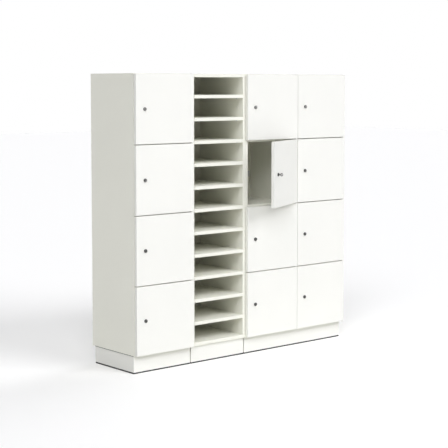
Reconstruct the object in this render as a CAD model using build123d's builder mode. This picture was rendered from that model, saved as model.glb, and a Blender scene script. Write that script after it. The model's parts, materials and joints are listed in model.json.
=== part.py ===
from build123d import *

import os
from math import atan2, cos, degrees, hypot, radians, sin

# Parcel locker bank: a four-door locker, a pigeonhole cabinet and an eight-door locker, bolted together.
# Millimetres. +Z is up, the doors face -Y, and the origin is on the floor under the centre of the
# carcasses. Rows count from the top. One door stands open with a key in its lock. Every lock is unlocked.

# ---- carcasses ----
MODULE = 400.0  # width of one column
CARCASS_DEPTH = 400.0
RASTER = 32.0  # every height is a multiple of this
ROWS = 4
ROW_HEIGHT = 12 * RASTER
SLOTS = 12
SLOT_HEIGHT = 4 * RASTER
BOARD = 19.0
BOARD_EDGE_RADIUS = 0.8  # the edge-banded front edges
BACK_BOARD = 8.0
BACK_RECESS = 2.0  # rear face of the back panels to the rear edges of the side boards
SHELF_PLAY = 0.5  # each end of a loose shelf

# ---- plinths and feet ----
BASE = 100.0  # floor to underside of the carcasses
FOOT_HEIGHT = 8.0
FOOT_RADIUS = 7.0
FOOT_STEM_RADIUS = 3.0
FOOT_STEM_LENGTH = 40.0
FOOT_FROM_END = 40.0
PLINTH_BOARD = 16.0
PLINTH_FRONT_INSET = 14.0
PLINTH_BACK_INSET = 21.0
PLINTH_SIDE_INSET = 4.0
PLINTH_END_DROP = 2.0  # top of the end boards to the underside of the carcass

# ---- doors and their pivots ----
DOOR_THICKNESS = 19.0
DOOR_CLEARANCE = 2.0  # door inner face to carcass front
REVEAL = 1.5  # half the gap between two columns of doors
ROW_REVEAL = 2.5  # half the gap between two rows of doors
EDGE_RADIUS = 1.0
OPEN_DOOR = ("right_unit_left", 2)
OPEN_ANGLE = 27.0
PIVOT_INSET = 6.0  # pivot axis to the door's front face and to its hinge-side edge
PIN_RADIUS = 2.5
PIN_LENGTH = 7.0
RUNNING_CLEARANCE = 0.05
BUSH_RADIUS = 4.0
BUSH_LENGTH = 9.0
PLATE_THICKNESS = 4.0
END_PLATE_THICKNESS = 2.0  # above the top door and below the bottom door
PLATE_WIDTH = 9.0
PLATE_IN_BOARD = 28.0
PLATE_HEAD_WIDTH = 14.0
PLATE_HEAD_AHEAD = 5.0  # of the pivot axis
PLATE_HEAD_BEHIND = 11.0
PLATE_HEAD_CORNER = 2.0
DIVIDER_PLATE_SHIFT = 8.5  # sideways run of a plate that ends in the divider

# ---- locks and key ----
LOCK_FROM_MODULE_LINE = 60.0
ROSETTE_RADIUS = 10.0
ROSETTE_HEIGHT = 5.5
ROSETTE_EDGE = 1.0
BARREL_RADIUS = 8.0
BARREL_BEHIND_DOOR = 8.0
NUT_RADIUS = 12.7  # to a corner
NUT_HEIGHT = 4.0
PLUG_RADIUS = 6.5
PLUG_HEAD_RADIUS = 7.6
PLUG_HEAD_HEIGHT = 1.0
PLUG_CLEARANCE = 0.06
END_PLAY = 0.3
KEYWAY_WIDTH = 2.4
KEYWAY_HEIGHT = 9.0
KEYWAY_DEPTH = 26.0
CAM_REACH = 38.0
CAM_WIDTH = 14.0
CAM_THICKNESS = 2.5
CAM_EYE_RADIUS = 9.0
TAIL_SIDE = 8.0
SCREW_RADIUS = 2.0
SCREW_LENGTH = 6.0
SCREW_HEAD_RADIUS = 4.5
SCREW_HEAD_HEIGHT = 2.5
STRIKE_OVERLAP = 11.0
STRIKE_HEIGHT = 34.0
STRIKE_FROM_FRONT = 0.5
STRIKE_CLEARANCE = 0.4
KEY_THICKNESS = 2.0
KEY_BLADE_HEIGHT = 8.4
KEY_BLADE_LENGTH = 24.0
KEY_CUTS = 5
KEY_CUT_DEPTH = 1.8
KEY_CUT_WIDTH = 2.6
KEY_NECK_LENGTH = 8.0
KEY_NECK_HEIGHT = 11.0
KEY_BOW_RADIUS = 9.5
KEY_BOW_OVERLAP = 2.0  # of the bow and the neck, along the key
KEY_HOLE_RADIUS = 3.6
KEY_HOLE_SHIFT = 2.0  # from the middle of the bow, away from the blade

# ---- fittings inside the boards ----
DOWEL_RADIUS = 4.0
DOWEL_IN_FACE = 8.0
DOWEL_IN_END = 22.0
FITTING_FROM_FRONT = 50.0
FITTING_FROM_REAR = 60.0
SHELF_PIN_RADIUS = 2.5
SHELF_PIN_HALF = 8.0
SLEEVE_RADIUS = 4.0
SLEEVE_HEAD_RADIUS = 7.0
SLEEVE_HEAD_HEIGHT = 1.5

# ---- places worked out from them ----
FRONT = -CARCASS_DEPTH / 2
REAR = CARCASS_DEPTH / 2
BACK_FACE = REAR - BACK_RECESS - BACK_BOARD
CARCASS_TOP = BASE + ROWS * ROW_HEIGHT
CARCASS_BOTTOM = BASE
PIVOT_Y = FRONT - DOOR_CLEARANCE - DOOR_THICKNESS + PIVOT_INSET
FITTING_Y = (FRONT + FITTING_FROM_FRONT, REAR - FITTING_FROM_REAR)
ROW_LINES = [CARCASS_TOP - ROW_HEIGHT * k for k in range(1, ROWS)]
ROW_MIDDLES = [CARCASS_TOP - ROW_HEIGHT * (k + 0.5) for k in range(ROWS)]
SLOT_LINES = [CARCASS_TOP - SLOT_HEIGHT * k for k in range(1, SLOTS)]
END_LINES = [CARCASS_BOTTOM + BOARD / 2, CARCASS_TOP - BOARD / 2]
SLEEVE_HEIGHTS = (ROW_MIDDLES[0], ROW_MIDDLES[-1])

LEFT_UNIT = (-2 * MODULE, -MODULE)
PIGEONHOLES = (-MODULE, 0.0)
RIGHT_UNIT = (0.0, 2 * MODULE)
DIVIDER = (MODULE - BOARD / 2, MODULE + BOARD / 2)

# each column of doors: the module line on its hinge side, the sideways run of its pivot plates,
# and the board face that its lock cams catch behind
COLUMNS = {
    "left_unit": (LEFT_UNIT[1], 0.0, LEFT_UNIT[0] + BOARD),
    "right_unit_left": (MODULE, DIVIDER_PLATE_SHIFT, RIGHT_UNIT[0] + BOARD),
    "right_unit_right": (RIGHT_UNIT[1], 0.0, DIVIDER[1]),
}

# along a door's own plane, from its pivot axis
LEAF_RIGHT = PIVOT_INSET
LEAF_LEFT = PIVOT_INSET - (MODULE - 2 * REVEAL)
LEAF_FRONT = -PIVOT_INSET
LEAF_INNER = DOOR_THICKNESS - PIVOT_INSET
LEAF_HALF_HEIGHT = ROW_HEIGHT / 2 - ROW_REVEAL
LOCK_X = LOCK_FROM_MODULE_LINE - MODULE + REVEAL + PIVOT_INSET
BARREL_END = LEAF_INNER + BARREL_BEHIND_DOOR
CAM_FRONT = BARREL_END + END_PLAY
CAM_BACK = CAM_FRONT + CAM_THICKNESS
PLUG_HEAD_BACK = LEAF_FRONT - ROSETTE_HEIGHT - END_PLAY
PLUG_FACE = PLUG_HEAD_BACK - PLUG_HEAD_HEIGHT

os.makedirs("parts", exist_ok=True)


def write(name, *solids):
    """Label a finished node and write it as parts/NAME.step."""
    node = solids[0] if len(solids) == 1 else Compound(children=list(solids))
    node.label = name
    export_step(node, f"parts/{name}.step")


def block(low, high, mode=Mode.ADD):
    """A box between two corners."""
    size = [b - a for a, b in zip(low, high)]
    with Locations(low):
        Box(*size, align=(Align.MIN, Align.MIN, Align.MIN), mode=mode)


def rods_along_x(x_low, x_high, places, radius, mode=Mode.ADD):
    """Round rods along X through each (y, z)."""
    with Locations([((x_low + x_high) / 2, y, z) for y, z in places]):
        Cylinder(radius, x_high - x_low, rotation=(0, 90, 0), mode=mode)


def rods_along_y(y_low, y_high, x, radius, mode=Mode.ADD):
    """A round rod along Y at height zero."""
    with Locations((x, (y_low + y_high) / 2, 0)):
        Cylinder(radius, y_high - y_low, rotation=(90, 0, 0), mode=mode)


def rods_along_z(z_low, z_high, places, radius, mode=Mode.ADD):
    """Round rods along Z through each (x, y)."""
    with Locations([(x, y, (z_low + z_high) / 2) for x, y in places]):
        Cylinder(radius, z_high - z_low, mode=mode)


def soften_front(boards, direction):
    """Rounds those front edges of the boards that run along one direction."""
    fillet(boards.edges().filter_by(direction).group_by(Axis.Y)[0], BOARD_EDGE_RADIUS)


# ---- fittings that boards are drilled for, drawn once and used to add or to cut ----
def end_dowels(face, inward, lines, mode):
    """Dowels from a board face at x = face into the ends of the boards on each line."""
    ends = sorted((face - inward * DOWEL_IN_FACE, face + inward * DOWEL_IN_END))
    rods_along_x(*ends, [(y, z) for y in FITTING_Y for z in lines], DOWEL_RADIUS, mode)


def divider_dowels(mode):
    """Dowels from the bottom and top boards into the ends of the divider."""
    places = [(MODULE, y) for y in FITTING_Y]
    for face, inward in ((CARCASS_BOTTOM + BOARD, 1), (CARCASS_TOP - BOARD, -1)):
        ends = sorted((face - inward * DOWEL_IN_FACE, face + inward * DOWEL_IN_END))
        rods_along_z(*ends, places, DOWEL_RADIUS, mode)


def plinth_dowels(unit, mode):
    """Dowels from the front and back plinth boards up into the bottom board."""
    left, right = unit
    xs = (left + MODULE / 4, right - MODULE / 4)
    ys = plinth_board_middles()
    rods_along_z(
        BASE - DOWEL_IN_END, BASE + DOWEL_IN_FACE, [(x, y) for x in xs for y in ys], DOWEL_RADIUS, mode
    )


def shelf_supports(face, mode):
    """Pins under the loose shelves, half of each in the side board."""
    places = [(y, z - BOARD / 2 - SHELF_PIN_RADIUS) for y in FITTING_Y for z in SLOT_LINES]
    rods_along_x(face - SHELF_PIN_HALF, face + SHELF_PIN_HALF, places, SHELF_PIN_RADIUS, mode)


def unit_sleeves(joint, mode):
    """Bolt sleeves through the two side boards that meet at x = joint."""
    places = [(y, z) for y in FITTING_Y for z in SLEEVE_HEIGHTS]
    rods_along_x(joint - BOARD, joint + BOARD, places, SLEEVE_RADIUS, mode)


def plate_levels():
    """The underside and thickness of each pivot plate, top to bottom, and which ways its pin points."""
    between = [(z - PLATE_THICKNESS / 2, PLATE_THICKNESS, True, True) for z in ROW_LINES]
    highest = (CARCASS_TOP - END_PLATE_THICKNESS, END_PLATE_THICKNESS, False, True)
    lowest = (CARCASS_BOTTOM, END_PLATE_THICKNESS, True, False)
    return [highest, *between, lowest]


def plate(column, level, mode):
    """One flat pivot plate: a broad head round the pivot axis, and a tongue let into a board."""
    line, shift, _ = COLUMNS[column]
    low, thickness, _, _ = level
    x = line - REVEAL - PIVOT_INSET
    run = FRONT + PLATE_IN_BOARD - PLATE_WIDTH / 2 - PIVOT_Y
    with BuildSketch(Plane.XY.offset(low)) as outline:
        with Locations((x + shift / 2, PIVOT_Y + run / 2)):
            SlotCenterToCenter(hypot(shift, run), PLATE_WIDTH, rotation=degrees(atan2(run, shift)))
        with Locations((x, PIVOT_Y + (PLATE_HEAD_BEHIND - PLATE_HEAD_AHEAD) / 2)):
            RectangleRounded(PLATE_HEAD_WIDTH, PLATE_HEAD_AHEAD + PLATE_HEAD_BEHIND, PLATE_HEAD_CORNER)
    extrude(outline.sketch, amount=thickness, mode=mode)


def plinth_board_middles():
    """The y of the middle of the front and back plinth boards."""
    return (FRONT + PLINTH_FRONT_INSET + PLINTH_BOARD / 2, REAR - PLINTH_BACK_INSET - PLINTH_BOARD / 2)


def foot_places(unit, columns):
    """Feet under the front and back plinth boards of a unit."""
    left, right = unit
    first, last = left + PLINTH_SIDE_INSET + FOOT_FROM_END, right - PLINTH_SIDE_INSET - FOOT_FROM_END
    xs = [first + (last - first) * k / columns for k in range(columns + 1)]
    return [(x, y) for x in xs for y in plinth_board_middles()]


# ---- the carcasses ----
def side_board(name, left, inner, lines=(), pins=False, joint=None, column=None):
    """A full-height side board. inner is its inner face and lines are the boards dowelled to it."""
    inward = 1 if inner > left else -1
    with BuildPart() as board:
        block((left, FRONT, BASE), (left + BOARD, REAR, CARCASS_TOP))
        soften_front(board, Axis.Z)
        end_dowels(inner, inward, [*END_LINES, *lines], Mode.SUBTRACT)
        if pins:
            shelf_supports(inner, Mode.SUBTRACT)
        if joint is not None:
            unit_sleeves(joint, Mode.SUBTRACT)
        if column:
            for level in plate_levels():
                plate(column, level, Mode.SUBTRACT)
    write(name, board.part)


def divider():
    """The upright between the two columns of the right unit."""
    with BuildPart() as board:
        block((DIVIDER[0], FRONT, BASE + BOARD), (DIVIDER[1], BACK_FACE, CARCASS_TOP - BOARD))
        soften_front(board, Axis.Z)
        end_dowels(DIVIDER[0], -1, ROW_LINES, Mode.SUBTRACT)
        end_dowels(DIVIDER[1], 1, ROW_LINES, Mode.SUBTRACT)
        divider_dowels(Mode.SUBTRACT)
        for level in plate_levels()[1:-1]:
            plate("right_unit_left", level, Mode.SUBTRACT)
    write("right_unit_divider", board.part)


def top_and_bottom(name, unit, divided=False):
    """The top board and the bottom board of a unit, between its side boards."""
    left, right = unit[0] + BOARD, unit[1] - BOARD
    with BuildPart() as boards:
        for z in (CARCASS_BOTTOM, CARCASS_TOP - BOARD):
            block((left, FRONT, z), (right, BACK_FACE, z + BOARD))
        soften_front(boards, Axis.X)
        end_dowels(left, 1, END_LINES, Mode.SUBTRACT)
        end_dowels(right, -1, END_LINES, Mode.SUBTRACT)
        plinth_dowels(unit, Mode.SUBTRACT)
        if divided:
            divider_dowels(Mode.SUBTRACT)
            for level in (plate_levels()[0], plate_levels()[-1]):
                plate("right_unit_left", level, Mode.SUBTRACT)
    write(name, boards.part)


def fixed_shelves(name, bays):
    """The shelves between the locker compartments, dowelled at both ends."""
    with BuildPart() as shelves:
        for left, right in bays:
            for z in ROW_LINES:
                block((left, FRONT, z - BOARD / 2), (right, BACK_FACE, z + BOARD / 2))
        soften_front(shelves, Axis.X)
        for left, right in bays:
            end_dowels(left, 1, ROW_LINES, Mode.SUBTRACT)
            end_dowels(right, -1, ROW_LINES, Mode.SUBTRACT)
    write(name, shelves.part)


def loose_shelves():
    """The pigeonhole shelves, which rest on pins."""
    left, right = PIGEONHOLES[0] + BOARD + SHELF_PLAY, PIGEONHOLES[1] - BOARD - SHELF_PLAY
    with BuildPart() as shelves:
        for z in SLOT_LINES:
            block((left, FRONT, z - BOARD / 2), (right, BACK_FACE, z + BOARD / 2))
        soften_front(shelves, Axis.X)
    write("pigeonhole_shelves", shelves.part)


def back_panels():
    """One panel behind each unit, between its side boards."""
    with BuildPart() as panels:
        for left, right in (LEFT_UNIT, PIGEONHOLES, RIGHT_UNIT):
            block((left + BOARD, BACK_FACE, BASE), (right - BOARD, REAR - BACK_RECESS, CARCASS_TOP))
    write("back_panels", panels.part)


# ---- plinths and feet ----
def plinth(name, unit, columns):
    """A frame of upright boards under a unit, with a cross board under each divider."""
    left, right = unit[0] + PLINTH_SIDE_INSET, unit[1] - PLINTH_SIDE_INSET
    front, rear = FRONT + PLINTH_FRONT_INSET, REAR - PLINTH_BACK_INSET
    middle = (left + right - PLINTH_BOARD) / 2
    cross_boards = [left, right - PLINTH_BOARD] + ([middle] if columns > 1 else [])
    pieces = []
    for y in (front, rear - PLINTH_BOARD):
        with BuildPart() as long_board:
            block((left, y, FOOT_HEIGHT), (right, y + PLINTH_BOARD, BASE))
            if y == front:
                soften_front(long_board, Axis.Z)
            stems = [(x, v) for x, v in foot_places(unit, columns) if y < v < y + PLINTH_BOARD]
            rods_along_z(
                FOOT_HEIGHT, FOOT_HEIGHT + FOOT_STEM_LENGTH, stems, FOOT_STEM_RADIUS, Mode.SUBTRACT
            )
            plinth_dowels(unit, Mode.SUBTRACT)
        pieces.append(long_board.part)
    for x in cross_boards:
        top = BASE if x == middle else BASE - PLINTH_END_DROP
        with BuildPart() as cross_board:
            block((x, front + PLINTH_BOARD, FOOT_HEIGHT), (x + PLINTH_BOARD, rear - PLINTH_BOARD, top))
        pieces.append(cross_board.part)
    write(name, *pieces)


def levelling_feet():
    """A round foot on a threaded stem under each plinth board end."""
    with BuildPart() as feet:
        for unit, columns in ((LEFT_UNIT, 1), (PIGEONHOLES, 1), (RIGHT_UNIT, 2)):
            places = foot_places(unit, columns)
            rods_along_z(0, FOOT_HEIGHT, places, FOOT_RADIUS)
            rods_along_z(FOOT_HEIGHT, FOOT_HEIGHT + FOOT_STEM_LENGTH, places, FOOT_STEM_RADIUS)
    write("levelling_feet", feet.part)


# ---- fittings of the cabinet ----
def dowels():
    """Every dowel of the three carcasses and their plinths."""
    with BuildPart() as pegs:
        for unit in (LEFT_UNIT, PIGEONHOLES, RIGHT_UNIT):
            end_dowels(unit[0] + BOARD, 1, END_LINES, Mode.ADD)
            end_dowels(unit[1] - BOARD, -1, END_LINES, Mode.ADD)
            plinth_dowels(unit, Mode.ADD)
        for left, right in locker_bays():
            end_dowels(left, 1, ROW_LINES, Mode.ADD)
            end_dowels(right, -1, ROW_LINES, Mode.ADD)
        divider_dowels(Mode.ADD)
    write("dowels", pegs.part)


def shelf_pins():
    """Four pins for each loose shelf."""
    with BuildPart() as pins:
        shelf_supports(PIGEONHOLES[0] + BOARD, Mode.ADD)
        shelf_supports(PIGEONHOLES[1] - BOARD, Mode.ADD)
    write("shelf_pins", pins.part)


def unit_connectors():
    """Sleeves with a flat head at each end, which bolt neighbouring units together."""
    places = [(y, z) for y in FITTING_Y for z in SLEEVE_HEIGHTS]
    with BuildPart() as sleeves:
        for joint in PIGEONHOLES:
            unit_sleeves(joint, Mode.ADD)
            for x in (joint - BOARD - SLEEVE_HEAD_HEIGHT, joint + BOARD):
                rods_along_x(x, x + SLEEVE_HEAD_HEIGHT, places, SLEEVE_HEAD_RADIUS)
    write("unit_connectors", sleeves.part)


def pivot_plates():
    """The plates and pins that the doors turn on."""
    with BuildPart() as plates:
        for column, (line, _, _) in COLUMNS.items():
            axis = [(line - REVEAL - PIVOT_INSET, PIVOT_Y)]
            for level in plate_levels():
                plate(column, level, Mode.ADD)
                z, thickness, up, down = level
                low = z - PIN_LENGTH if down else z
                high = z + thickness + (PIN_LENGTH if up else 0)
                rods_along_z(low, high, axis, PIN_RADIUS)
    write("pivot_plates", plates.part)


def lock_strikes():
    """A block on the inner face beside each lock, which the turned cam catches behind."""
    back = PIVOT_Y + CAM_FRONT - STRIKE_CLEARANCE
    with BuildPart() as strikes:
        for line, _, face in COLUMNS.values():
            cam_tip = line - MODULE + LOCK_FROM_MODULE_LINE - CAM_REACH
            for z in ROW_MIDDLES:
                low = (face, FRONT + STRIKE_FROM_FRONT, z - STRIKE_HEIGHT / 2)
                block(low, (cam_tip + STRIKE_OVERLAP, back, z + STRIKE_HEIGHT / 2))
    write("lock_strikes", strikes.part)


def locker_bays():
    """The inner left and right of each column of locker compartments."""
    return (
        (LEFT_UNIT[0] + BOARD, LEFT_UNIT[1] - BOARD),
        (RIGHT_UNIT[0] + BOARD, DIVIDER[0]),
        (DIVIDER[1], RIGHT_UNIT[1] - BOARD),
    )


# ---- doors, locks and key, each on the plane of its door ----
def leaf_plane(column, row):
    """Origin on the pivot axis at the door's mid height, x along the door, z up."""
    angle = radians(OPEN_ANGLE if (column, row) == OPEN_DOOR else 0)
    x = COLUMNS[column][0] - REVEAL - PIVOT_INSET
    return Plane((x, PIVOT_Y, ROW_MIDDLES[row - 1]), x_dir=(cos(angle), sin(angle), 0), z_dir=(0, 0, 1))


def facing(leaf, y):
    """The upright plane at depth y of a door, seen from in front of the door."""
    return leaf * Location(Plane.XZ.offset(-y))


def bush_holes(radius, mode):
    """The two blind holes, or what fills them, at the ends of the pivot axis."""
    for low in (-LEAF_HALF_HEIGHT, LEAF_HALF_HEIGHT - BUSH_LENGTH):
        rods_along_z(low, low + BUSH_LENGTH, [(0, 0)], radius, mode)


def door(column, row, leaf):
    """A board with softened edges, drilled for its bushes and its lock."""
    with BuildPart(leaf) as panel:
        low = (LEAF_LEFT, LEAF_FRONT, -LEAF_HALF_HEIGHT)
        block(low, (LEAF_RIGHT, LEAF_INNER, LEAF_HALF_HEIGHT))
        fillet(panel.edges(), EDGE_RADIUS)
        bush_holes(BUSH_RADIUS, Mode.SUBTRACT)
        rods_along_y(LEAF_FRONT, LEAF_INNER, LOCK_X, BARREL_RADIUS, Mode.SUBTRACT)
    write(f"{column}_door_{row}", panel.part)


def door_fittings(column, row, leaf):
    """The lock housing, its nut and the two pivot bushes."""
    rosette_face = LEAF_FRONT - ROSETTE_HEIGHT
    with BuildPart(leaf) as housing:
        rods_along_y(rosette_face, LEAF_FRONT, LOCK_X, ROSETTE_RADIUS)
        depth = Axis(leaf.origin, leaf.y_dir)
        fillet(housing.edges().filter_by(GeomType.CIRCLE).sort_by(depth)[0], ROSETTE_EDGE)
        rods_along_y(LEAF_FRONT, BARREL_END, LOCK_X, BARREL_RADIUS)
        bore = PLUG_RADIUS + PLUG_CLEARANCE
        rods_along_y(rosette_face, BARREL_END, LOCK_X, bore, Mode.SUBTRACT)
    with BuildPart() as nut:
        with BuildSketch(facing(leaf, LEAF_INNER)):
            with Locations((LOCK_X, 0)):
                RegularPolygon(NUT_RADIUS, 6)
                Circle(BARREL_RADIUS, mode=Mode.SUBTRACT)
        extrude(amount=-NUT_HEIGHT)
    with BuildPart(leaf) as bushes:
        bush_holes(BUSH_RADIUS, Mode.ADD)
        bush_holes(PIN_RADIUS + RUNNING_CLEARANCE, Mode.SUBTRACT)
    write(f"{column}_door_{row}_fittings", housing.part, nut.part, bushes.part)


def lock_core(column, row, leaf):
    """The turning plug with its keyway, the cam on its square tail, and the cam screw."""
    half_tail = TAIL_SIDE / 2
    with BuildPart(leaf) as plug:
        rods_along_y(PLUG_FACE, PLUG_HEAD_BACK, LOCK_X, PLUG_HEAD_RADIUS)
        rods_along_y(PLUG_HEAD_BACK, CAM_FRONT, LOCK_X, PLUG_RADIUS)
        block((LOCK_X - half_tail, CAM_FRONT, -half_tail), (LOCK_X + half_tail, CAM_BACK, half_tail))
        rods_along_y(CAM_BACK - SCREW_LENGTH, CAM_BACK, LOCK_X, SCREW_RADIUS, Mode.SUBTRACT)
        slot_low = (LOCK_X - KEYWAY_WIDTH / 2, PLUG_FACE, -KEYWAY_HEIGHT / 2)
        slot_high = (LOCK_X + KEYWAY_WIDTH / 2, PLUG_FACE + KEYWAY_DEPTH, KEYWAY_HEIGHT / 2)
        block(slot_low, slot_high, Mode.SUBTRACT)
    with BuildPart() as cam:
        with BuildSketch(facing(leaf, CAM_FRONT)):
            with Locations((LOCK_X, 0)):
                Circle(CAM_EYE_RADIUS)
            with Locations((LOCK_X, -CAM_REACH / 2)):
                RectangleRounded(CAM_WIDTH, CAM_REACH, CAM_WIDTH / 4)
            with Locations((LOCK_X, 0)):
                Rectangle(TAIL_SIDE, TAIL_SIDE, mode=Mode.SUBTRACT)
        extrude(amount=-CAM_THICKNESS)
    with BuildPart(leaf) as screw:
        rods_along_y(CAM_BACK - SCREW_LENGTH, CAM_BACK, LOCK_X, SCREW_RADIUS)
        rods_along_y(CAM_BACK, CAM_BACK + SCREW_HEAD_HEIGHT, LOCK_X, SCREW_HEAD_RADIUS)
    write(f"{column}_lock_{row}", plug.part, cam.part, screw.part)


def key(leaf):
    """A flat key, fully home: cut blade, neck and round bow with a hole."""
    side = leaf * Location(Plane.YZ.offset(LOCK_X))
    tip = PLUG_FACE + KEY_BLADE_LENGTH
    bow = PLUG_FACE - KEY_NECK_LENGTH - KEY_BOW_RADIUS + KEY_BOW_OVERLAP
    cut_step = KEY_BLADE_LENGTH / (KEY_CUTS + 1)
    cuts = [(PLUG_FACE + cut_step * k, -KEY_BLADE_HEIGHT / 2) for k in range(1, KEY_CUTS + 1)]
    with BuildPart() as blank:
        with BuildSketch(side):
            with Locations(((PLUG_FACE + tip) / 2, 0)):
                Rectangle(KEY_BLADE_LENGTH, KEY_BLADE_HEIGHT)
            with Locations(cuts):
                Triangle(a=KEY_CUT_WIDTH, b=KEY_CUT_DEPTH, c=KEY_CUT_DEPTH, mode=Mode.SUBTRACT)
            with Locations((PLUG_FACE - KEY_NECK_LENGTH / 2, 0)):
                Rectangle(KEY_NECK_LENGTH, KEY_NECK_HEIGHT)
            with Locations((bow, 0)):
                Circle(KEY_BOW_RADIUS)
            with Locations((bow - KEY_HOLE_SHIFT, 0)):
                Circle(KEY_HOLE_RADIUS, mode=Mode.SUBTRACT)
        extrude(amount=KEY_THICKNESS / 2, both=True)
    write("key", blank.part)


# ---- the whole object ----
side_board("left_unit_left_side", LEFT_UNIT[0], LEFT_UNIT[0] + BOARD, ROW_LINES)
side_board(
    "left_unit_right_side",
    LEFT_UNIT[1] - BOARD,
    LEFT_UNIT[1] - BOARD,
    ROW_LINES,
    joint=PIGEONHOLES[0],
    column="left_unit",
)
side_board("pigeonhole_left_side", PIGEONHOLES[0], PIGEONHOLES[0] + BOARD, pins=True, joint=PIGEONHOLES[0])
side_board(
    "pigeonhole_right_side",
    PIGEONHOLES[1] - BOARD,
    PIGEONHOLES[1] - BOARD,
    pins=True,
    joint=PIGEONHOLES[1],
)
side_board("right_unit_left_side", RIGHT_UNIT[0], RIGHT_UNIT[0] + BOARD, ROW_LINES, joint=PIGEONHOLES[1])
side_board(
    "right_unit_right_side",
    RIGHT_UNIT[1] - BOARD,
    RIGHT_UNIT[1] - BOARD,
    ROW_LINES,
    column="right_unit_right",
)
divider()
top_and_bottom("left_unit_top_and_bottom", LEFT_UNIT)
top_and_bottom("pigeonhole_top_and_bottom", PIGEONHOLES)
top_and_bottom("right_unit_top_and_bottom", RIGHT_UNIT, divided=True)
fixed_shelves("left_unit_shelves", locker_bays()[:1])
fixed_shelves("right_unit_shelves", locker_bays()[1:])
loose_shelves()
back_panels()
plinth("left_plinth", LEFT_UNIT, 1)
plinth("pigeonhole_plinth", PIGEONHOLES, 1)
plinth("right_plinth", RIGHT_UNIT, 2)
levelling_feet()
dowels()
shelf_pins()
unit_connectors()
pivot_plates()
lock_strikes()
for column_name in COLUMNS:
    for row_number in range(1, ROWS + 1):
        plane = leaf_plane(column_name, row_number)
        door(column_name, row_number, plane)
        door_fittings(column_name, row_number, plane)
        lock_core(column_name, row_number, plane)
key(leaf_plane(*OPEN_DOOR))
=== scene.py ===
import json
import math

import bmesh
import bpy
from mathutils import Matrix, Vector


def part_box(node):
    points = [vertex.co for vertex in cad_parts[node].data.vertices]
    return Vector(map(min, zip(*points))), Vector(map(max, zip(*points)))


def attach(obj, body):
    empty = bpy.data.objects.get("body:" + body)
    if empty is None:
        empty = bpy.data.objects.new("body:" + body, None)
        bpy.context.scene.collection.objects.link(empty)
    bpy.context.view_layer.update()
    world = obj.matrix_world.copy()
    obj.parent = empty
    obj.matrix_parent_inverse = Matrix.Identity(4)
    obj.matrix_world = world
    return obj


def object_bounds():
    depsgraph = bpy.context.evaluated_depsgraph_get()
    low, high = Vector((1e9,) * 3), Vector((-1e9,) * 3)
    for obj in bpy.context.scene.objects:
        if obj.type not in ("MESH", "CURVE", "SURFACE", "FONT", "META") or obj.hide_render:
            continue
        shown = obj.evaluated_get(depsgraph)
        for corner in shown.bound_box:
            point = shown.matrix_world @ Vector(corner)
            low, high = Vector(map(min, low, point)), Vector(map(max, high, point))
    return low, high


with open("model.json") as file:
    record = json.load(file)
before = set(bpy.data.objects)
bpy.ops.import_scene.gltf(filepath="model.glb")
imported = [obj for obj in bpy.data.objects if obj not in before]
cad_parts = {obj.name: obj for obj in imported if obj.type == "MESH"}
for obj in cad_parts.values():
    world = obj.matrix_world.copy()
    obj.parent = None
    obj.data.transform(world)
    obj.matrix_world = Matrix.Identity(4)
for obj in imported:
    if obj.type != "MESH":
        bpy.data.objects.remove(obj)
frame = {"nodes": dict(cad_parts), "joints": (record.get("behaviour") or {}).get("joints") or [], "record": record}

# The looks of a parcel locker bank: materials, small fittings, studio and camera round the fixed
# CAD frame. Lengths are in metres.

CAD_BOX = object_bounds()
PLINTHS = ("left_plinth", "pigeonhole_plinth", "right_plinth")

# ---- camera: long lens, a little above half height, off the front left corner ----
CAMERA_PLACE = (-4.728, -5.555, 1.567)
CAMERA_TURN = 40.45  # degrees to the right of straight at the doors
CAMERA_DIP = 4.31  # degrees below level
CAMERA_LENS = 99.3  # millimetres, for a sensor 36 mm wide
CAMERA_SENSOR = 36
CAMERA_SHIFT = -0.1
CAMERA_FAR_END = 200

# ---- light ----
SKY = 0.2
COOL_WHITE = (0.93, 0.93, 1.0)
SOFTBOX_SPREAD = 35.0  # degrees across
SOFTBOXES = {  # azimuth from straight in front, elevation, strength
    "softbox_left": (-45, 40, 1.92),
    "softbox_front": (22, 34, 1.58),
    "softbox_side": (100, 30, 1.05),
}
GLINT_PLACE = (1.6, -2.6, 1.85)  # a panel seen only in reflections, level with the upper locks
GLINT_SIZE = (3.0, 1.9)
GLINT_POWER = 38.0
FLOOR_SIZE = 60.0
FLOOR_LIFT = 0.165  # added where the camera sees the floor, so that it prints as white paper

# ---- finishes, linear colour ----
DOOR_LAMINATE = (0.80, 0.80, 0.735)
BOARD_LAMINATE = (0.80, 0.80, 0.700)
BACK_LAMINATE = (0.77, 0.77, 0.670)
FLOOR_GREY = (0.86, 0.86, 0.81)
LOCK_METAL = (0.165, 0.165, 0.16)
KEY_METAL = (0.36, 0.36, 0.35)
ZINC = (0.60, 0.61, 0.63)
# black of the plastic feet, also used for the strips that paint shade lines under and beside the plinths
BLACK_PLASTIC_AND_SHADE = (0.032, 0.032, 0.030)
CLEAR_PLASTIC = (0.62, 0.62, 0.60)
POWDER_COAT = (0.78, 0.78, 0.70)
BEECH_LIGHT = (0.62, 0.43, 0.25)
BEECH_DARK = (0.42, 0.26, 0.13)
FITTING_EDGE = 0.0003  # radius that softens the edges of small fittings in the shading
BRUSHED_GLOSS_SPREAD = 0.07

# ---- small fittings: profiles are (radius, height) from the foot to the top ----
TURNED_SEGMENTS = 24
SCREW_HEAD = [(0, 0), (0.0040, 0), (0.0040, 0.0004), (0.0034, 0.0012), (0.0022, 0.0016),
              (0.0017, 0.0016), (0.0010, 0.0006), (0, 0.0006)]
SCREW_FROM_EDGE = 0.031
SCREW_STEPS = 2  # spaces between screws across one module
BUFFER = [(0, 0), (0.0045, 0), (0.0045, 0.0006), (0.0040, 0.0014), (0.0026, 0.0018), (0, 0.0019)]
BUFFER_FROM_EDGE = 0.008
BUFFER_FROM_END = 0.030
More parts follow.
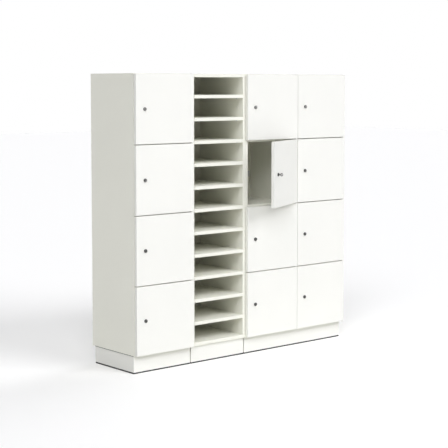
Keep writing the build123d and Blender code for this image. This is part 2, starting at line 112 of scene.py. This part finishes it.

# ---- painted shade: dark strips that stand in for the shadow lines under each plinth and in the joint over its ends ----
# inset from the plinth's face, and height as a share of the gap under it
# painted shade: section of the black strip that draws the shadow line under each plinth
SHADE_STRIP_SECTION = [(0.0003, 1.0), (0.0003, 0.40), (-0.0006, 0.05), (0.0002, 0.05), (0.0009, 0.38),
                (0.0009, 1.0)]
# inset from the plinth's end face, and height from its top
# painted shade: section of the dark strips that draw the shadow line of the joint over each plinth end
JOINT_SHADE_SECTION = [(-0.0032, 0.0), (-0.0032, -0.0024), (-0.0028, -0.0028), (0.0, -0.0028), (0.0, 0.0)]
JOINT_SHADE_FROM_CORNER = 0.0008


# ---- node helpers ----
def new_material(name):
    """An empty node material with a Principled shader. Returns (material, nodes, links, shader)."""
    material = bpy.data.materials.new(name)
    material.use_nodes = True
    tree = material.node_tree
    shader = tree.nodes["Principled BSDF"]
    return material, tree.nodes, tree.links, shader


def place(nodes):
    """Coordinates in metres in the piece's own frame, so that a texture moves with its piece."""
    return nodes.new("ShaderNodeTexCoord").outputs["Object"]


def noise(nodes, links, where, scale, detail=2.0, roughness=0.5, stretch=None):
    """A noise value, with scale in features per metre and stretch along X, Y and Z."""
    if stretch:
        mapping = nodes.new("ShaderNodeMapping")
        mapping.inputs["Scale"].default_value = stretch
        links.new(where, mapping.inputs["Vector"])
        where = mapping.outputs["Vector"]
    texture = nodes.new("ShaderNodeTexNoise")
    texture.inputs["Scale"].default_value = scale
    texture.inputs["Detail"].default_value = detail
    texture.inputs["Roughness"].default_value = roughness
    links.new(where, texture.inputs["Vector"])
    return texture.outputs["Fac"]


def spread(nodes, links, value, low, high, low_in=0.3, high_in=0.7):
    """Maps a value linearly from its usual range onto low to high."""
    ranger = nodes.new("ShaderNodeMapRange")
    for name, number in (("From Min", low_in), ("From Max", high_in), ("To Min", low), ("To Max", high)):
        ranger.inputs[name].default_value = number
    links.new(value, ranger.inputs["Value"])
    return ranger.outputs["Result"]


def blend_colour(nodes, links, factor, first, second):
    """A colour between first and second."""
    mix = nodes.new("ShaderNodeMix")
    mix.data_type = "RGBA"
    mix.inputs["A"].default_value = (*first, 1)
    mix.inputs["B"].default_value = (*second, 1)
    links.new(factor, mix.inputs["Factor"])
    return mix.outputs["Result"]


def bump(nodes, links, shader, height, depth, strength=1.0, edge_radius=0.0):
    """Surface relief of that depth in metres, over edges softened by edge_radius."""
    relief = nodes.new("ShaderNodeBump")
    relief.inputs["Strength"].default_value = strength
    relief.inputs["Distance"].default_value = depth
    links.new(height, relief.inputs["Height"])
    if edge_radius:
        rounding = nodes.new("ShaderNodeBevel")
        rounding.samples = 4
        rounding.inputs["Radius"].default_value = edge_radius
        links.new(rounding.outputs["Normal"], relief.inputs["Normal"])
    links.new(relief.outputs["Normal"], shader.inputs["Normal"])


def tinted(colour, share):
    """The colour made lighter or darker by a share."""
    return tuple(min(1.0, c * (1 + share)) for c in colour)


# ---- materials ----
def laminate(name, colour):
    """Melamine-faced board: a fine pearl grain, faint cloudiness, and handling marks in the gloss."""
    material, nodes, links, shader = new_material(name)
    where = place(nodes)
    cloud = noise(nodes, links, where, scale=2.5, detail=3.0)
    shade = spread(nodes, links, cloud, 0.0, 1.0)
    links.new(blend_colour(nodes, links, shade, tinted(colour, -0.012), tinted(colour, 0.012)),
              shader.inputs["Base Color"])
    marks = noise(nodes, links, where, scale=14.0, detail=5.0, roughness=0.65)
    links.new(spread(nodes, links, marks, 0.42, 0.56), shader.inputs["Roughness"])
    shader.inputs["Specular IOR Level"].default_value = 0.35
    grain = noise(nodes, links, where, scale=900.0, detail=3.0, roughness=0.6)
    bump(nodes, links, shader, grain, depth=0.00008, strength=0.5, edge_radius=0.0007)
    return material


def plated(name, colour, roughness, brushing):
    """Plated metal with fine brushing along one direction and faint stains."""
    material, nodes, links, shader = new_material(name)
    where = place(nodes)
    shader.inputs["Metallic"].default_value = 1.0
    stain = noise(nodes, links, where, scale=60.0, detail=4.0)
    shade = spread(nodes, links, stain, 0.0, 1.0)
    links.new(blend_colour(nodes, links, shade, tinted(colour, -0.12), tinted(colour, 0.08)),
              shader.inputs["Base Color"])
    lines = noise(nodes, links, where, scale=400.0, detail=3.0, roughness=0.6, stretch=brushing)
    gloss = spread(nodes, links, lines, roughness - BRUSHED_GLOSS_SPREAD, roughness + BRUSHED_GLOSS_SPREAD)
    links.new(gloss, shader.inputs["Roughness"])
    bump(nodes, links, shader, lines, depth=0.00003, strength=0.4, edge_radius=FITTING_EDGE)
    return material


def moulded(name, colour, roughness):
    """Matt moulded plastic with a spark-eroded texture."""
    material, nodes, links, shader = new_material(name)
    where = place(nodes)
    cloud = noise(nodes, links, where, scale=40.0)
    shade = spread(nodes, links, cloud, 0.0, 1.0)
    links.new(blend_colour(nodes, links, shade, tinted(colour, -0.2), tinted(colour, 0.3)),
              shader.inputs["Base Color"])
    shader.inputs["Roughness"].default_value = roughness
    grain = noise(nodes, links, where, scale=1500.0)
    bump(nodes, links, shader, grain, depth=0.0001, strength=0.5, edge_radius=FITTING_EDGE)
    return material


def powder_coated(name, colour):
    """Thin powder coat with a fine orange peel."""
    material, nodes, links, shader = new_material(name)
    where = place(nodes)
    cloud = noise(nodes, links, where, scale=30.0)
    shade = spread(nodes, links, cloud, 0.0, 1.0)
    links.new(blend_colour(nodes, links, shade, tinted(colour, -0.02), tinted(colour, 0.02)),
              shader.inputs["Base Color"])
    shader.inputs["Roughness"].default_value = 0.4
    peel = noise(nodes, links, where, scale=700.0)
    bump(nodes, links, shader, peel, depth=0.00005, strength=0.5, edge_radius=FITTING_EDGE)
    return material


def beech():
    """Bare beech with short flecks along the grain."""
    material, nodes, links, shader = new_material("beech_wood")
    where = place(nodes)
    grain = noise(nodes, links, where, scale=220.0, detail=5.0, roughness=0.6, stretch=(0.12, 1.0, 1.0))
    shade = spread(nodes, links, grain, 0.0, 1.0)
    links.new(blend_colour(nodes, links, shade, BEECH_LIGHT, BEECH_DARK), shader.inputs["Base Color"])
    shader.inputs["Roughness"].default_value = 0.7
    bump(nodes, links, shader, grain, depth=0.0001, strength=0.5)
    return material


MATERIALS = {
    "door_laminate": laminate("door_melamine", DOOR_LAMINATE),
    "white_laminate": laminate("board_melamine", BOARD_LAMINATE),
    "back_laminate": laminate("back_melamine", BACK_LAMINATE),
    "white_painted_steel": powder_coated("white_powder_coat", POWDER_COAT),
    "clear_plastic": moulded("milky_plastic", CLEAR_PLASTIC, 0.35),
    "zinc_plated_steel": plated("bright_zinc", ZINC, 0.34, (1.0, 1.0, 0.15)),
    "lock_chrome": plated("lock_plating", LOCK_METAL, 0.24, (1.0, 0.2, 1.0)),
    "key_steel": plated("key_nickel", KEY_METAL, 0.28, (0.2, 0.2, 1.0)),
    # black plastic of the feet; the painted-shade strips at the plinths use it too
    "foot_plastic": moulded("black_plastic_and_shade", BLACK_PLASTIC_AND_SHADE, 0.6),
    "beech": beech(),
}


def dress_cad_nodes():
    """Gives every CAD node the material of its slot; doors and plinths are of a cooler white board."""
    slots = {s["node"]: s["material_slot"] for s in frame["record"]["subparts"]}
    doors = {j["child"] for j in frame["joints"] if j["name"].endswith("_hinge")}
    for name, node in frame["nodes"].items():
        finish = "door_laminate" if name in doors.union(PLINTHS) else slots[name]
        for slot in node.material_slots:
            slot.material = MATERIALS[finish]


# ---- small fittings ----
def ring_of(mesh, radius, height):
    """The vertices of one ring, or the single vertex of a closed end."""
    if radius == 0:
        return [mesh.verts.new((0, 0, height))]
    angles = [2 * math.pi * k / TURNED_SEGMENTS for k in range(TURNED_SEGMENTS)]
    return [mesh.verts.new((radius * math.cos(a), radius * math.sin(a), height)) for a in angles]


def turned(mesh, profile, centre, axis):
    """Adds a turned solid to a mesh: profile is (radius, height) pairs from its foot to its top."""
    rings = [ring_of(mesh, radius, height) for radius, height in profile]
    for lower, upper in zip(rings, rings[1:]):
        for k in range(TURNED_SEGMENTS):
            n = (k + 1) % TURNED_SEGMENTS
            if len(lower) == 1:
                corners = (lower[0], upper[n], upper[k])
            elif len(upper) == 1:
                corners = (lower[k], lower[n], upper[0])
            else:
                corners = (lower[k], lower[n], upper[n], upper[k])
            mesh.faces.new(corners).smooth = True
    turn = Vector((0, 0, 1)).rotation_difference(Vector(axis)).to_matrix().to_4x4()
    where = Matrix.Translation(centre) @ turn
    bmesh.ops.transform(mesh, matrix=where, verts=[v for ring in rings for v in ring])


def piece_from(mesh, name, finish, body):
    """Turns a bmesh into a finished piece that rides on a body."""
    data = bpy.data.meshes.new(name)
    mesh.to_mesh(data)
    mesh.free()
    data.materials.append(MATERIALS[finish])
    piece = bpy.data.objects.new(name, data)
    bpy.context.scene.collection.objects.link(piece)
    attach(piece, body)


def fittings(name, profile, places, axis, finish, body):
    """One piece made of equal turned solids at several places, riding on a body."""
    mesh = bmesh.new()
    for centre in places:
        turned(mesh, profile, centre, axis)
    piece_from(mesh, name, finish, body)


def board_lines(shelves, top_and_bottom, thickness):
    """The middle heights of a unit's bottom board, its three fixed shelves and its top board."""
    (low, high), (bottom, top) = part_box(shelves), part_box(top_and_bottom)
    first, last = low.z + thickness / 2, high.z - thickness / 2
    return [bottom.z + thickness / 2, first, (first + last) / 2, last, top.z - thickness / 2]


def back_screws():
    """Raised-head screws through each back panel into the boards in front of it."""
    divider_low, divider_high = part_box("right_unit_divider")
    thickness = divider_high.x - divider_low.x
    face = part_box("back_panels")[1].y
    places = []
    for unit, parts in (("left_unit", 1), ("pigeonhole", 1), ("right_unit", 2)):
        low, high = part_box(f"{unit}_top_and_bottom")
        shelves = "left_unit_shelves" if unit == "pigeonhole" else f"{unit}_shelves"
        lines = board_lines(shelves, f"{unit}_top_and_bottom", thickness)
        if unit == "pigeonhole":
            lines = [lines[0], lines[-1]]
        left, right = low.x + SCREW_FROM_EDGE, high.x - SCREW_FROM_EDGE
        steps = SCREW_STEPS * parts
        xs = [left + (right - left) * k / steps for k in range(steps + 1)]
        places += [(x, face, z) for x in xs for z in lines]
    middle = (divider_low.x + divider_high.x) / 2
    lines = board_lines("right_unit_shelves", "right_unit_top_and_bottom", thickness)
    places += [(middle, face, (a + b) / 2) for a, b in zip(lines, lines[1:])]
    fittings("back_panel_screws", SCREW_HEAD, places, (0, 1, 0), "zinc_plated_steel", "cabinet")


def door_buffers():
    """Two soft dots inside each door's free edge, which meet the carcass when the door shuts."""
    hinges = {j["child"]: j for j in frame["joints"] if j["name"].endswith("_hinge")}
    for door, hinge in hinges.items():
        column = door[: -len("_2")]
        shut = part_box(f"{column}_1")
        pivot = Vector(hinges[f"{column}_1"]["pos_m"])
        inner, low, high = shut[1].y - pivot.y, shut[0] - pivot, shut[1] - pivot
        opened = Matrix.Rotation(math.radians(-hinge["range_deg"][0]), 3, "Z")
        places = [
            opened @ Vector((low.x + BUFFER_FROM_EDGE, inner, z)) + Vector(hinge["pos_m"])
            for z in (low.z + BUFFER_FROM_END, high.z - BUFFER_FROM_END)
        ]
        fittings(f"{door}_buffers", BUFFER, places, opened @ Vector((0, 1, 0)), "clear_plastic", door)


def plinth_shade_strip(name, node):
    """Painted shade: a black strip in the gap between a plinth and the floor, all round the plinth, that stands in
    for the shadow in that gap.
    """
    low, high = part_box(node)
    ground = CAD_BOX[0].z
    reach = low.z - ground
    mesh = bmesh.new()
    loops = []
    for inset, share in SHADE_STRIP_SECTION:
        x0, x1, y0, y1 = low.x + inset, high.x - inset, low.y + inset, high.y - inset
        z = ground + reach * share
        corners = ((x0, y0, z), (x1, y0, z), (x1, y1, z), (x0, y1, z))
        loops.append([mesh.verts.new(corner) for corner in corners])
    for one, two in zip(loops, loops[1:] + loops[:1]):
        for k in range(4):
            n = (k + 1) % 4
            mesh.faces.new((one[k], one[n], two[n], two[k]))
    bmesh.ops.recalc_face_normals(mesh, faces=mesh.faces)
    piece_from(mesh, name, "foot_plastic", "cabinet")


def joint_shade_strips():
    """Painted shade: thin dark strips under the carcass, against each plinth end, that stand in for the shadow in
    the joint above it.
    """
    mesh = bmesh.new()
    for base in PLINTHS:
        low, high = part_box(base)
        front, rear = low.y + JOINT_SHADE_FROM_CORNER, high.y - JOINT_SHADE_FROM_CORNER
        for face, inwards in ((low.x, 1), (high.x, -1)):
            ends = [
                [mesh.verts.new((face + inwards * inset, y, high.z + drop)) for inset, drop in JOINT_SHADE_SECTION]
                for y in (front, rear)
            ]
            mesh.faces.new(ends[0])
            mesh.faces.new(ends[1])
            count = len(JOINT_SHADE_SECTION)
            for k in range(count):
                n = (k + 1) % count
                mesh.faces.new((ends[0][k], ends[0][n], ends[1][n], ends[1][k]))
    bmesh.ops.recalc_face_normals(mesh, faces=mesh.faces)
    piece_from(mesh, "joint_shade_strips", "foot_plastic", "cabinet")


# ---- studio ----
def floor():
    """A plain white floor that runs out of sight, lifted a little for the camera only."""
    bpy.ops.mesh.primitive_plane_add(size=FLOOR_SIZE, location=(0, 0, CAD_BOX[0].z))
    plane = bpy.context.object
    plane.name = "studio_floor"
    material, nodes, links, shader = new_material("studio_floor_paint")
    shader.inputs["Base Color"].default_value = (*FLOOR_GREY, 1)
    shader.inputs["Emission Color"].default_value = (1, 1, 1, 1)
    paths = nodes.new("ShaderNodeLightPath")
    lift = nodes.new("ShaderNodeMath")
    lift.operation = "MULTIPLY"
    lift.inputs[1].default_value = FLOOR_LIFT
    links.new(paths.outputs["Is Camera Ray"], lift.inputs[0])
    links.new(lift.outputs[0], shader.inputs["Emission Strength"])
    shader.inputs["Roughness"].default_value = 0.9
    shader.inputs["Specular IOR Level"].default_value = 0.1
    plane.data.materials.append(material)


def sky():
    """Even ambient light, with a white backdrop behind the object."""
    world = bpy.data.worlds.new("studio")
    bpy.context.scene.world = world
    world.use_nodes = True
    nodes, links = world.node_tree.nodes, world.node_tree.links
    nodes.clear()
    light = nodes.new("ShaderNodeBackground")
    light.inputs["Color"].default_value = (*COOL_WHITE, 1)
    light.inputs["Strength"].default_value = SKY
    backdrop = nodes.new("ShaderNodeBackground")
    backdrop.inputs["Color"].default_value = (1, 1, 1, 1)
    paths = nodes.new("ShaderNodeLightPath")
    mix = nodes.new("ShaderNodeMixShader")
    out = nodes.new("ShaderNodeOutputWorld")
    links.new(paths.outputs["Is Camera Ray"], mix.inputs["Fac"])
    links.new(light.outputs["Background"], mix.inputs[1])
    links.new(backdrop.outputs["Background"], mix.inputs[2])
    links.new(mix.outputs["Shader"], out.inputs["Surface"])


def softboxes():
    """Large soft sources, most of the light high and in front of the doors."""
    for name, (azimuth, elevation, strength) in SOFTBOXES.items():
        light = bpy.data.lights.new(name, "SUN")
        light.color = COOL_WHITE
        light.energy = strength
        light.angle = math.radians(SOFTBOX_SPREAD)
        lamp = bpy.data.objects.new(name, light)
        turn, rise = math.radians(azimuth), math.radians(elevation)
        level = math.cos(rise)
        towards = Vector((math.sin(turn) * level, -math.cos(turn) * level, math.sin(rise)))
        lamp.rotation_euler = towards.to_track_quat("Z", "Y").to_euler()
        bpy.context.scene.collection.objects.link(lamp)


def glint_panel():
    """A panel ahead and to the right that only metal and gloss pick up."""
    light = bpy.data.lights.new("glint_panel", "AREA")
    light.shape = "RECTANGLE"
    light.size, light.size_y = GLINT_SIZE
    light.energy = GLINT_POWER
    lamp = bpy.data.objects.new("glint_panel", light)
    lamp.location = GLINT_PLACE
    towards = Vector((0, 0, GLINT_PLACE[2])) - Vector(GLINT_PLACE)
    lamp.rotation_euler = towards.to_track_quat("-Z", "Y").to_euler()
    lamp.visible_camera = False
    lamp.visible_diffuse = False
    bpy.context.scene.collection.objects.link(lamp)


def camera():
    """Long lens from the front left, with a small shift that keeps the uprights nearly parallel."""
    data = bpy.data.cameras.new("camera")
    data.lens = CAMERA_LENS
    data.sensor_width = CAMERA_SENSOR
    data.shift_y = CAMERA_SHIFT
    data.clip_end = CAMERA_FAR_END
    eye = bpy.data.objects.new("camera", data)
    eye.location = CAMERA_PLACE
    eye.rotation_euler = (math.radians(90 - CAMERA_DIP), 0, math.radians(-CAMERA_TURN))
    bpy.context.scene.collection.objects.link(eye)
    bpy.context.scene.camera = eye


def look():
    """Plain display transform."""
    settings = bpy.context.scene.view_settings
    settings.view_transform = "Standard"
    settings.look = "None"
    settings.exposure = 0
    settings.gamma = 1


dress_cad_nodes()
back_screws()
door_buffers()
# painted shade: a dark strip under each plinth stands in for the shadow line of the gap there
for base in PLINTHS:
    plinth_shade_strip(f"{base}_shade_strip", base)
# painted shade: dark strips at the plinth ends stand in for the shadow in the joint there
joint_shade_strips()
floor()
sky()
softboxes()
glint_panel()
camera()
look()
